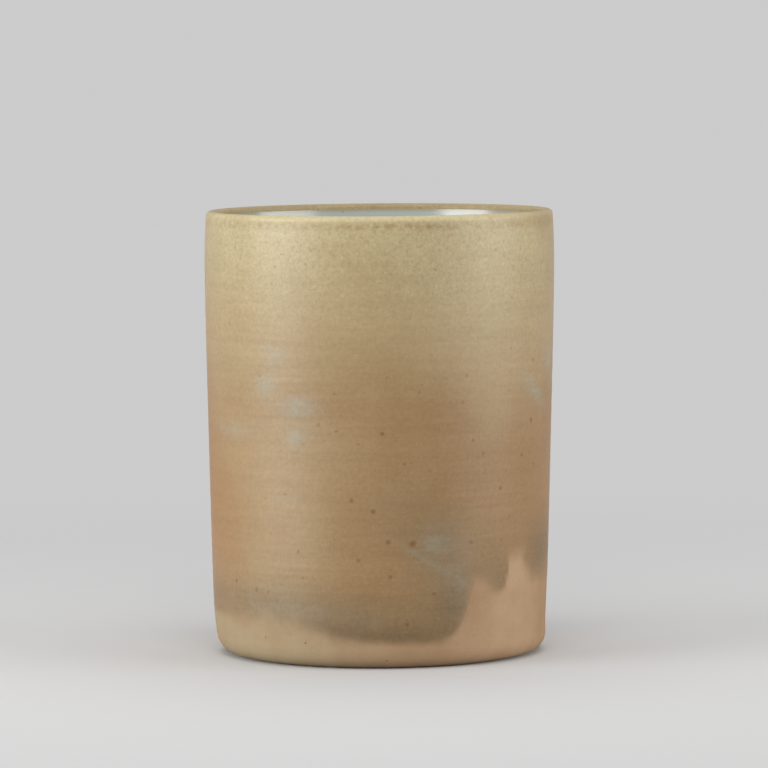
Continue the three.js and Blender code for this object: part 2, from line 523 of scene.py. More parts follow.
@dataclass(frozen=True)
class SlipEdge:
    """The lower edge of the slip: the union of lobes, with the small wander of a wet edge.

    Each wave of the wander has a strength, a count round the cup and a start in radians.
    """

    lobes: tuple[Lobe, ...] = (
        Lobe(-62, 10, 78, -0.02),
        Lobe(2, 6.2, 30.3, -0.03),
        Lobe(37.6, 18.2, 12, -0.31),
        Lobe(77, 18.5, 22.8),
        Lobe(128, 13, 28),
        Lobe(178, 9.5, 34),
        Lobe(222, 11.5, 30),
    )
    rise: float = 12 * MM
    squareness: int = 7
    top: float = 25.5 * MM
    blend: float = 0.5 * MM
    wander: float = 0.08 * MM
    waves: tuple[tuple[float, int, float], ...] = ((1, 11, 1), (0.7, 19, 4), (0.5, 37, 2))

    def height(self) -> np.ndarray:
        """The height of the edge at each column.

        A lobe's edge is its reach plus its slant, plus the rise times a power of the share of its half width.
        The lowest lobe counts, with a soft minimum so that lobes flow into each other, and sines make the
        edge wander.

        Returns:
            Heights in metres.
        """
        middles = np.array([lobe.angle for lobe in self.lobes])
        widths = np.array([lobe.half_width for lobe in self.lobes])
        slants = MM * np.array([lobe.slant for lobe in self.lobes])
        reaches = MM * np.array([lobe.reach for lobe in self.lobes])
        away = (np.degrees(angles())[:, None] - middles + 180) % 360 - 180
        edges = reaches + slants * away + self.rise * np.abs(away / widths) ** self.squareness
        edges = np.minimum(edges, self.top)
        lowest = edges.min(axis=1)
        shares = np.exp(-(edges - lowest[:, None]) / self.blend).sum(axis=1)
        strengths, counts, starts = np.array(self.waves).T
        waves = np.sin(angles()[:, None] * counts + starts) @ strengths
        return lowest - self.blend * np.log(shares) + self.wander * waves

    def distance(self, height: np.ndarray, radius: float) -> np.ndarray:
        """How far inside the slip each point of the wall is.

        This is the least distance to the edge, negative outside it.

        Args:
            height: Heights of the points, as rows and columns.
            radius: The wall's radius, for distances round it.

        Returns:
            Distances in metres. Rows well above the edge get their height above its top.
        """
        edge, angle = self.height(), angles()
        round_cup = radius * ((angle[:, None] - angle + np.pi) % (2 * np.pi) - np.pi)
        near = height.min(axis=1) < 2 * self.top
        distance = height - self.top
        low = height[near]
        least = np.hypot(round_cup, low[:, :, None] - edge).min(axis=2)
        distance[near] = np.where(low > edge, least, -least)
        return distance


@dataclass(frozen=True)
class Smudge:
    """A soft patch on the wall.

    Its middle is an angle in degrees and a height in millimetres. Its half sizes, in millimetres, lie along
    and across a line that climbs to the right by the slant, in degrees.
    """

    angle: float
    height: float
    along: float
    across: float
    strength: float = 1
    slant: float = 0


def smudged(smudges: tuple[Smudge, ...], height: np.ndarray, radius: float) -> np.ndarray:
    """How strongly smudges colour each point of a wall, from 0 to 1.

    Each smudge is a bell curve of the distances along and across its line, and the strengths add up.

    Args:
        smudges: The patches.
        height: Heights of the points, as rows and columns.
        radius: The wall's radius, for distances round it.

    Returns:
        The strength at each point.
    """
    total = np.zeros(height.shape)
    for smudge in smudges:
        away = (angles() - math.radians(smudge.angle) + np.pi) % (2 * np.pi) - np.pi
        aside, up = radius * away / MM, height / MM - smudge.height
        cosine, sine = math.cos(math.radians(smudge.slant)), math.sin(math.radians(smudge.slant))
        along = (aside * cosine + up * sine) / smudge.along
        across = (up * cosine - aside * sine) / smudge.across
        total += smudge.strength * np.exp(-(along**2) - across**2)
    return np.clip(total, 0, 1)


# Finishes


def linear(code: str) -> tuple[float, float, float, float]:
    """A screen colour as the linear colour that a shader takes, by the usual curve of screens.

    Args:
        code: The colour, such as #c8a070.

    Returns:
        Red, green, blue and a full alpha.
    """
    parts = np.array([int(code[i : i + 2], 16) for i in (1, 3, 5)]) / 255
    low, high = parts / 12.92, ((parts + 0.055) / 1.055) ** 2.4
    return (*np.where(parts <= 0.04045, low, high).tolist(), 1.0)


WHITE = "#ffffff"

# What an input takes: a socket to link, a number, a vector or a screen colour.
Socket = bpy.types.NodeSocket
Value = Socket | float | tuple | str

# The two ends of a range.
Span = tuple[float, float]


@dataclass(frozen=True)
class Cloud:
    """A noise pattern, and the ramp that turns it into a number.

    Its clouds have a size in metres, a count of finer layers and the strength of those. The spread is the
    span of noise that the ramp covers, and gives is what it makes of the ends. Bands press the clouds into
    level streaks.
    """

    size: float
    detail: float = 2
    rough: float = 0.5
    spread: Span = (0.3, 0.7)
    gives: Span = (0, 1)
    bands: float = 1


@dataclass(frozen=True)
class Freckles:
    """Iron specks scattered at random: their spacing and radius in metres, and how dark they are.

    The wobble is the size and the reach, in metres, of the noise that pushes them out of round. The core is
    the share of the radius in which a speck has its full strength.
    """

    spacing: float
    size: float
    strength: float
    wobble: tuple[float, float]
    core: float = 0.4


@dataclass(frozen=True)
class Speck:
    """An iron spot on the wall: its angle in degrees, height and radius in millimetres, and darkness."""

    angle: float
    height: float
    size: float
    strength: float = 1


class NodeTree:
    """The node tree of a material or a world, added to step by step."""

    def __init__(self, owner: bpy.types.Material | bpy.types.World) -> None:
        """Opens the owner's tree."""
        owner.use_nodes = True
        self.nodes = owner.node_tree.nodes
        self.links = owner.node_tree.links

    def feed(self, node: bpy.types.Node, inputs: dict[str | int, Value]) -> None:
        """Links or sets inputs of a node.

        Args:
            node: The node.
            inputs: The socket to link to each input, or its value, by name or number. A string is a colour.
        """
        for key, value in inputs.items():
            if isinstance(value, Socket):
                self.links.new(value, node.inputs[key])
            else:
                node.inputs[key].default_value = linear(value) if isinstance(value, str) else value

    def add(self, kind: str, inputs: dict[str | int, Value], **choices: str) -> bpy.types.Node:
        """Adds a node.

        Args:
            kind: Its type, without the first word that all shader nodes share.
            inputs: What its inputs are fed.
            choices: Its own settings, by name.

        Returns:
            The node.
        """
        node = self.nodes.new("ShaderNode" + kind)
        for name, choice in choices.items():
            setattr(node, name, choice)
        self.feed(node, inputs)
        return node

    def maths(self, operation: str, first: Value, second: Value) -> Socket:
        """One sum on two numbers."""
        return self.add("Math", {0: first, 1: second}, operation=operation).outputs["Value"]

    def seen_directly(self) -> Socket:
        """1 for what the camera, a reflection or a clear body shows, and 0 for light on its way.

        Returns:
            The number.
        """
        path = self.add("LightPath", {}).outputs
        shown = self.maths("MAXIMUM", path["Is Camera Ray"], path["Is Glossy Ray"])
        return self.maths("MAXIMUM", shown, path["Is Transmission Ray"])

    def show(self, output: str, share: Socket, under: bpy.types.Node, over: bpy.types.Node) -> None:
        """Puts a blend of two shaders, by a share of the second, on the named output."""
        blend = self.add("MixShader", {"Fac": share, 1: under.outputs[0], 2: over.outputs[0]})
        self.feed(self.nodes[output], {"Surface": blend.outputs["Shader"]})


class Sketch(NodeTree):
    """A new material, with patterns that lie on its object."""

    def __init__(self, name: str) -> None:
        """Starts a material with a Principled shader on its output."""
        self.material = bpy.data.materials.new(name)
        super().__init__(self.material)
        self.shader = self.nodes["Principled BSDF"]
        self.place = self.add("TexCoord", {}).outputs["Object"]

    def attribute(self, tint: Tint) -> Socket:
        """The number that the vertices carry for a tint."""
        return self.add("Attribute", {}, attribute_name=tint.value).outputs["Fac"]

    def noise(self, cloud: Cloud) -> Socket:
        """The noise of a cloud, from 0 to 1, before its ramp.

        Args:
            cloud: The pattern. Bands other than 1 multiply the height at which it is read.

        Returns:
            The noise.
        """
        place = self.place
        if cloud.bands != 1:
            place = self.add("Mapping", {"Vector": place, "Scale": (1, 1, cloud.bands)}).outputs["Vector"]
        inputs = {"Vector": place, "Scale": 1 / cloud.size, "Detail": cloud.detail, "Roughness": cloud.rough}
        return self.add("TexNoise", inputs).outputs["Fac"]

    def cloud(self, cloud: Cloud) -> Socket:
        """The noise of a cloud, after its ramp."""
        return self.ramp(self.noise(cloud), cloud.spread, cloud.gives)

    def ramp(self, value: Socket, spread: Span, gives: Span = (0, 1)) -> Socket:
        """Turns one span of numbers into another along an S-curve, and holds its ends outside the span."""
        names = ("Value", "From Min", "From Max", "To Min", "To Max")
        inputs = dict(zip(names, (value, *spread, *gives)))
        return self.add("MapRange", inputs, interpolation_type="SMOOTHSTEP").outputs["Result"]

    def wobbled(self, size: float, amount: float) -> Socket:
        """The place on the object, pushed about by noise.

        Args:
            size: How large the clouds of the noise are, in metres.
            amount: How far it pushes at most, in metres.

        Returns:
            The place.
        """
        noise = self.add("TexNoise", {"Vector": self.place, "Scale": 1 / size}).outputs["Color"]
        inputs = {0: noise, 1: (2 * amount,) * 3, 2: self.place}
        return self.add("VectorMath", inputs, operation="MULTIPLY_ADD").outputs["Vector"]

    def freckles(self, freckles: Freckles, place: Socket) -> Socket:
        """Scattered round spots: one at the seed of each cell, which fades out from its core to its radius.

        Args:
            freckles: Their sizes.
            place: Where they are read.

        Returns:
            Their strength, and 0 between them.
        """
        cells = self.add("TexVoronoi", {"Vector": place, "Scale": 1 / freckles.spacing})
        rim = freckles.size / freckles.spacing
        return self.times(self.ramp(cells.outputs["Distance"], (rim, freckles.core * rim)), freckles.strength)

    def dot(self, place: Socket, centre: np.ndarray, rim: Span) -> Socket:
        """One round spot, 0 outside the first radius of its rim and 1 inside the second."""
        away = self.add("VectorMath", {0: place, 1: centre}, operation="DISTANCE")
        return self.ramp(away.outputs["Value"], rim)

    def times(self, first: Value, second: Value) -> Socket:
        """The product of two numbers."""
        return self.maths("MULTIPLY", first, second)

    def mix(self, share: Value, under: Value, over: Value, way: str = "MIX") -> Socket:
        """One colour laid over another by a share."""
        node = self.add("Mix", {"Factor": share, 6: under, 7: over}, data_type="RGBA", blend_type=way)
        return node.outputs[2]

    def tinted(self, under: Socket, tint: Tint, pattern: Socket, over: str) -> Socket:
        """One colour laid over another where the vertices carry a tint, broken up by a pattern."""
        return self.mix(self.times(self.attribute(tint), pattern), under, over)

    def blend(self, share: Socket, under: Socket, over: Socket) -> Socket:
        """One number turned into another by a share."""
        return self.add("Mix", {"Factor": share, "A": under, "B": over}).outputs["Result"]

    def bump(self, height: Socket, distance: float, strength: float) -> Socket:
        """The normal of fine relief."""
        inputs = {"Height": height, "Distance": distance, "Strength": strength}
        return self.add("Bump", inputs).outputs["Normal"]


@dataclass(frozen=True)
class BareClay:
    """Fired stoneware without a coat: matt, cream on the left and peach on the right, with fine grain.

    Its sides are spans of x, moved about by a drift of a size and a reach in metres. Its relief is a depth in
    metres and a strength.
    """

    peach: str = "#b49677"
    cream: str = "#a79577"
    shade: str = "#967453"
    stain: str = "#94876a"
    iron: str = "#6b4a2c"
    drift: tuple[float, float] = (18 * MM, 7 * MM)
    peach_side: Span = (-20 * MM, 26 * MM)
    shaded_side: Span = (39 * MM, 47 * MM)
    shaded_share: float = 0.6
    shading: Cloud = Cloud(7 * MM, 4, 0.6, (0.35, 0.75), (0, 0.3))
    staining: Cloud = Cloud(3.5 * MM, 3, 0.6, (0.48, 0.75), (0, 0.18), bands=1.6)
    grain: Cloud = Cloud(0.5 * MM, 2, 0.6, (0.45, 0.75), (0, 0.2))
    tooth: Cloud = Cloud(0.35 * MM, 3, 0.6, (0.3, 0.7), (0.68, 0.85))
    relief: tuple[float, float] = (0.03 * MM, 0.6)
    gloss: float = 0.15
    freckles: Freckles = Freckles(4.5 * MM, 0.35 * MM, 0.7, (0.6 * MM, 0.15 * MM))
    # Darker clay: the low one at the front is painted shade near the floor, and the other is a darker patch
    # beside the tongue.
    fumes_and_shade: tuple[Smudge, ...] = (
        Smudge(14, 4.5, 22, 6, 0.36),
        Smudge(33, 15, 5, 6, 0.36),
    )

    def colour(self, sketch: Sketch) -> Socket:
        """The clay's colour, with painted shade at its right side and low at its front, which also shows
        through the slip's thin edge.

        Args:
            sketch: The material that it is drawn in.

        Returns:
            The colour, without specks.
        """
        across = sketch.add("SeparateXYZ", {0: sketch.wobbled(*self.drift)}).outputs["X"]
        colour = sketch.mix(sketch.ramp(across, self.peach_side), self.cream, self.peach)
        colour = sketch.mix(sketch.cloud(self.shading), colour, self.shade)
        colour = sketch.mix(sketch.cloud(self.staining), colour, self.stain)
        colour = sketch.mix(sketch.ramp(across, self.shaded_side, (0, self.shaded_share)), colour, self.shade)
        # Painted shade low at the front of the foot, and a darker patch beside the tongue.
        colour = sketch.mix(sketch.attribute(Tint.FUME_AND_SHADE), colour, self.shade)
        return sketch.mix(sketch.cloud(self.grain), colour, self.shade)

    def material(self) -> bpy.types.Material:
        """Builds the finish.

        Returns:
            The material.
        """
        sketch = Sketch("bare stoneware")
        specks = sketch.freckles(self.freckles, sketch.wobbled(*self.freckles.wobble))
        tooth = sketch.noise(self.tooth)
        sketch.feed(sketch.shader, {
            "Base Color": sketch.mix(specks, self.colour(sketch), self.iron),
            "Roughness": sketch.ramp(tooth, self.tooth.spread, self.tooth.gives),
            "Specular IOR Level": self.gloss,
            "Normal": sketch.bump(tooth, *self.relief),
        })
        return sketch.material


@dataclass(frozen=True)
class PaleGlaze:
    """The liner: a glossy pale blue-white glaze, greener and thinner at its edge.

    Its relief is a depth in metres and a strength.
    """

    pale: str = "#e6e8e4"
    pooled: str = "#d6dedd"
    shallow: str = "#b0b8b3"
    thin: str = "#a89a78"
    iron: str = "#6f6350"
    pooling: Cloud = Cloud(14 * MM, 4, 0.55)
    rough: Span = (0.2, 0.26)
    ripple: Cloud = Cloud(4 * MM)
    relief: tuple[float, float] = (0.04 * MM, 0.4)
    gloss: float = 0.65
    freckles: Freckles = Freckles(5 * MM, 0.3 * MM, 0.5, (0.5 * MM, 0.1 * MM))

    def material(self) -> bpy.types.Material:
        """Builds the finish.

        Returns:
            The material.
        """
        sketch = Sketch("pale liner glaze")
        pooling = sketch.noise(self.pooling)
        colour = sketch.mix(sketch.ramp(pooling, self.pooling.spread), self.pale, self.pooled)
        colour = sketch.mix(sketch.attribute(Tint.SHALLOW), colour, self.shallow)
        colour = sketch.mix(sketch.attribute(Tint.THIN), colour, self.thin)
        specks = sketch.freckles(self.freckles, sketch.wobbled(*self.freckles.wobble))
        sketch.feed(sketch.shader, {
            "Base Color": sketch.mix(specks, colour, self.iron),
            "Roughness": sketch.ramp(pooling, self.pooling.spread, self.rough),
            "Specular IOR Level": self.gloss,
            "Normal": sketch.bump(sketch.noise(self.ripple), *self.relief),
        })
        return sketch.material


@dataclass(frozen=True)
class FlashedSlip:
    """The slip's colours: tan and peach, pale with ash near the lip and smoky along its lower edge as the
    fire left it, with painted sheen on its sides, painted shade at its edges and a painted highlight on its
    crest.

    Flecks and pale grain, partly painted glints, gain their shares over a span of ash, and the edge is ragged
    over a span of cover. A spot's rim is a span of shares of its radius, from where it is clear to where it
    is full. The relief is a depth in metres and a strength.
    """

    form: CupForm
    clay: BareClay
    tan: str = "#94754f"
    # Paler peach, which also stands for painted sheen on the sides.
    peach: str = "#a68e6b"
    # Orange, which also serves as painted shade at the cup's sides.
    ember_and_shade: str = "#986a3a"
    ash: str = "#b9aa83"
    fleck: str = "#84704a"
    # Pale grain in the ash, partly painted glints.
    grain: str = "#cdc09a"
    smoke: str = "#6c583c"
    haze: str = "#9fa69b"
    scorch: str = "#8a6c47"
    # The crest's colour: paler wear, and a painted highlight.
    crest: str = "#d6c79c"
    iron: str = "#784e2c"
    flush_drift: Cloud = Cloud(26 * MM, 3, 0.5, (0.3, 0.7), (-0.2, 0.2))
    billows: Cloud = Cloud(9 * MM, 4, 0.6, (0.25, 0.75), (0.85, 1.1))
    wisps: Cloud = Cloud(6 * MM, 4, 0.6, (0.3, 0.7), (0.35, 1.1), bands=2.5)
    flecks: Cloud = Cloud(0.75 * MM, 2, 0.5, (0.48, 0.72))
    grains_and_glints: Cloud = Cloud(0.6 * MM, 2, 0.5, (0.5, 0.74))
    ashed: Span = (0.2, 1)
    fleck_shares: Span = (0.1, 0.3)
    grain_and_glint_shares: Span = (0.05, 0.3)
    wheel_lines: Cloud = Cloud(32 * MM, 3, 0.6, (0.3, 0.7), (0.965, 1.025), bands=14)
    streaks: Cloud = Cloud(8 * MM, 4, 0.65, (0.25, 0.75), (0.97, 1.03), bands=10)
    mottle: Cloud = Cloud(1 * MM, 3, 0.7, (0.25, 0.75), (0.93, 1.07))
    broken: Cloud = Cloud(1.3 * MM, 2, 0.5, (0.3, 0.65))
    wear_and_highlight: Cloud = Cloud(1 * MM, 3, 0.6, (0.3, 0.65), (0.6, 1))
    ragged: Cloud = Cloud(4 * MM, 4, 0.6, (0.2, 0.8), (-0.16, 0.16))
    ragged_cover: Span = (0, 0.3)
    cover_spread: Span = (0.05, 0.95)
    tooth: Cloud = Cloud(0.35 * MM, 3, 0.6, (0.3, 0.7), (0.38, 0.48))
    relief: tuple[float, float] = (0.025 * MM, 0.4)
    gloss: float = 0.32
    freckles: Freckles = Freckles(4.2 * MM, 0.42 * MM, 0.5, (0.8 * MM, 0.3 * MM))
    iron_strength: float = 0.72
    spot_rim: Span = (1.3, 0.3)
    spots: tuple[Speck, ...] = (
        Speck(11.4, 28.9, 0.9),
        Speck(3.1, 29.3, 0.71),
        Speck(1.2, 53.8, 0.66),
        Speck(-1.8, 36.3, 0.7),
        Speck(-9, 38.8, 0.61, 0.9),
        Speck(9.5, 10.6, 0.61),
        Speck(18.8, 17.4, 0.54, 0.8),
        Speck(8.6, 46.9, 0.54, 0.9),
        Speck(32.3, 28.7, 0.54, 0.8),
        Speck(44.4, 40.4, 0.62, 0.9),
        Speck(60.7, 55.1, 0.7),
        Speck(41.3, 94.4, 0.54, 0.5),
        Speck(-57.6, 18.9, 0.68),
        Speck(-46.4, 17.5, 0.68),
        Speck(-42.4, 66.3, 0.47),
        Speck(13.4, 63.2, 0.47, 0.55),
        Speck(28.5, 60.4, 0.54, 0.45),
        Speck(29.9, 66.4, 0.5, 0.4),
        Speck(-20.1, 55.7, 0.54, 0.65),
        Speck(-14, 54.4, 0.47),
        Speck(32.5, 51.7, 0.5, 0.65),
        Speck(36.7, 48.6, 0.44, 0.7),
        Speck(55.2, 47.4, 0.54),
        Speck(-32.9, 39.9, 0.58),
        Speck(-6.8, 25.2, 0.6, 0.9),
        Speck(-28, 26.9, 0.54),
        Speck(3.8, 21.5, 0.57),
        Speck(-36.7, 87.3, 0.47),
        Speck(48.8, 83.4, 0.5, 0.35),
        Speck(10.9, 47, 0.5, 0.5),
        Speck(17.1, 45.4, 0.5, 0.4),
        Speck(63.1, 45.1, 0.6, 0.7),
        Speck(61.3, 68.8, 0.7, 0.5),
    )

    def fire_colour(self, sketch: Sketch) -> Socket:
        """The broad colours where the vertices say: tan, peach flushing with painted sheen, orange with
        painted shade, ash, smoke and haze.

        Args:
            sketch: The material that they are drawn in.

        Returns:
            The colour.
        """
        # Peach flushing with painted sheen: the left and right sides are paler, as if lit.
        flush_and_sheen = sketch.maths("ADD", sketch.attribute(Tint.FLUSH_AND_SHEEN), sketch.cloud(self.flush_drift))
        colour = sketch.mix(flush_and_sheen, self.tan, self.peach)
        # Orange flashing, with painted shade darkening and warming the left and right sides.
        colour = sketch.mix(sketch.attribute(Tint.EMBER_AND_SHADE), colour, self.ember_and_shade)
        billows = sketch.cloud(self.billows)
        colour = sketch.tinted(colour, Tint.ASH, billows, self.ash)
        colour = sketch.tinted(colour, Tint.SMOKE, billows, self.smoke)
        return sketch.tinted(colour, Tint.HAZE, sketch.cloud(self.wisps), self.haze)

    def fine_colour(self, sketch: Sketch, colour: Socket) -> Socket:
        """The small marks: flecks in the ash, wheel lines, the brown band, the paler crest with its painted
        highlight, and iron spots.

        Args:
            sketch: The material that they are drawn in.
            colour: The broad colours under them.

        Returns:
            The colour with the marks.
        """
        ash = sketch.attribute(Tint.ASH)
        flecks = sketch.times(sketch.cloud(self.flecks), sketch.ramp(ash, self.ashed, self.fleck_shares))
        colour = sketch.mix(flecks, colour, self.fleck)
        # Pale grain in the ash, partly painted glints, with more of it where the ash is thicker.
        grains_and_glints = sketch.times(sketch.cloud(self.grains_and_glints), sketch.ramp(ash, self.ashed, self.grain_and_glint_shares))
        colour = sketch.mix(grains_and_glints, colour, self.grain)
        wheel = sketch.times(sketch.cloud(self.wheel_lines), sketch.cloud(self.streaks))
        colour = sketch.mix(1.0, colour, sketch.times(wheel, sketch.cloud(self.mottle)), "MULTIPLY")
        colour = sketch.tinted(colour, Tint.SCORCH, sketch.cloud(self.broken), self.scorch)
        # The lip's crest: paler wear and a painted highlight, strongest at the front.
        colour = sketch.tinted(colour, Tint.CREST_WEAR_AND_HIGHLIGHT, sketch.cloud(self.wear_and_highlight), self.crest)
        place = sketch.wobbled(*self.freckles.wobble)
        iron = sketch.freckles(self.freckles, place)
        clear, full = self.spot_rim
        for spot in self.spots:
            centre = self.form.on_wall(spot.angle, spot.height * MM)
            dot = sketch.dot(place, centre, (clear * spot.size * MM, full * spot.size * MM))
            iron = sketch.maths("MAXIMUM", iron, sketch.times(dot, spot.strength))
        return sketch.mix(sketch.times(iron, self.iron_strength), colour, self.iron)

    def material(self) -> bpy.types.Material:
        """Builds the finish: the slip's colours, and the clay's where the slip thins out at its ragged edge.

        Returns:
            The material.
        """
        sketch = Sketch("flashed slip")
        colour = self.fine_colour(sketch, self.fire_colour(sketch))
        cover = sketch.attribute(Tint.COVER)
        ragged = sketch.times(sketch.ramp(cover, self.ragged_cover), sketch.cloud(self.ragged))
        cover = sketch.ramp(sketch.maths("ADD", cover, ragged), self.cover_spread)
        tooth = sketch.noise(self.tooth)
        bare = sketch.ramp(tooth, self.tooth.spread, self.clay.tooth.gives)
        satin = sketch.ramp(tooth, self.tooth.spread, self.tooth.gives)
        sketch.feed(sketch.shader, {
            "Base Color": sketch.mix(cover, self.clay.colour(sketch), colour),
            "Roughness": sketch.blend(cover, bare, satin),
            "Specular IOR Level": sketch.ramp(cover, (0, 1), (self.clay.gloss, self.gloss)),
            "Normal": sketch.bump(tooth, *self.relief),
        })
        return sketch.material


# Pieces


def seat(piece: bpy.types.Object, node: Node, finish: bpy.types.Material) -> None:
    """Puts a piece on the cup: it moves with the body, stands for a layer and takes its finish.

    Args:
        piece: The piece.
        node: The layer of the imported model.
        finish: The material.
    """
    piece.data.materials.append(finish)
    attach(piece, BODY)
    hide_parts(node.value)
    log.info("%s: %d faces", piece.name, len(piece.data.polygons))


@dataclass
class ClayBody:
    """The thrown clay, bare at the foot and under the coats elsewhere."""

    form: CupForm
    finish: BareClay
    bare_height: float = 27 * MM
    dish_steps: int = 85
    ring_steps: int = 22
    bare_steps: int = 90
    covered_steps: int = 34
    lip_steps: int = 12
    inner_steps: int = 34
    curve_steps: int = 10
    floor_steps: int = 8

    def build(self) -> bpy.types.Object:
        """Turns the whole profile, with fine rows where the clay shows.

        Returns:
            The clay, with its darker patches and painted shade on its vertices.
        """
        form = self.form
        outer = form.outer_path()
        split = np.count_nonzero(outer[:, 1] <= self.bare_height)
        path = joined(
            form.underside(self.dish_steps, self.ring_steps)[1:],
            respaced(outer[:split], self.bare_steps),
            respaced(outer[split - 1 :], self.covered_steps),
            form.lip_path(self.lip_steps),
            respaced(form.inner_path(), self.inner_steps),
            form.floor_path(self.curve_steps, self.floor_steps)[:-1],
        )
        piece = ring_surface("stoneware_cup", form.spun(path), Ends.POLES)
        height = np.broadcast_to(path[:, 1:], (len(path), COLUMNS))
        off_axis = smooth_step(path[:, :1], 0, form.foot_ring_outer)
        # Painted shade low at the front of the foot, and a darker patch beside the tongue.
        paint(piece, Tint.FUME_AND_SHADE, off_axis * smudged(self.finish.fumes_and_shade, height, form.rim_radius))
        return piece

    def dress(self, piece: bpy.types.Object) -> None:
        """Gives the clay its finish and its place."""
        seat(piece, Node.CLAY, self.finish.material())


@dataclass
class LinerCoat:
    """The glaze on the inside wall and the floor."""

    form: CupForm
    finish: PaleGlaze
    thickness: float = 0.45 * MM
    edge_thickness: float = 0.06 * MM
    edge_length: float = 12 * MM
    thin_length: float = 0.9 * MM
    shallow_length: float = 9 * MM
    edge_row: float = 0.06
    wall_steps: int = 190
    curve_steps: int = 26
    floor_steps: int = 60
    back_steps: int = 40

    def build(self) -> bpy.types.Object:
        """Offsets the inside of the clay: the glaze swells from its thin edge to its full thickness.

        Returns:
            The glaze, with its tints on its vertices.
        """
        form = self.form
        wall = form.inner_path()
        wall = wall[wall[:, 1] <= form.glaze_line]
        front = joined(respaced(wall, self.wall_steps), form.floor_path(self.curve_steps, self.floor_steps))
        front = np.insert(front, 1, front[0] + self.edge_row * (front[1] - front[0]), axis=0)
        back = respaced(front, self.back_steps)[::-1]
        swell = smooth_step(form.glaze_line - front[:, 1], 0, self.edge_length)
        depth = self.edge_thickness + (self.thickness - self.edge_thickness) * swell
        free = front + outward(front) * (form.bond_gap + depth)[:, None]
        clay = back - outward(back) * form.bond_gap
        path = np.vstack([clay[1:], free[:-1]])
        piece = ring_surface("liner_glaze_coat", form.spun(path), Ends.POLES)
        down = np.broadcast_to(form.glaze_line - path[:, 1:], (len(path), COLUMNS))
        paint(piece, Tint.THIN, 1 - smooth_step(down, 0, self.thin_length))
        paint(piece, Tint.SHALLOW, 1 - smooth_step(down, 0, self.shallow_length))
        return piece

    def dress(self, piece: bpy.types.Object) -> None:
        """Gives the glaze its finish and its place."""
        seat(piece, Node.LINER, self.finish.material())


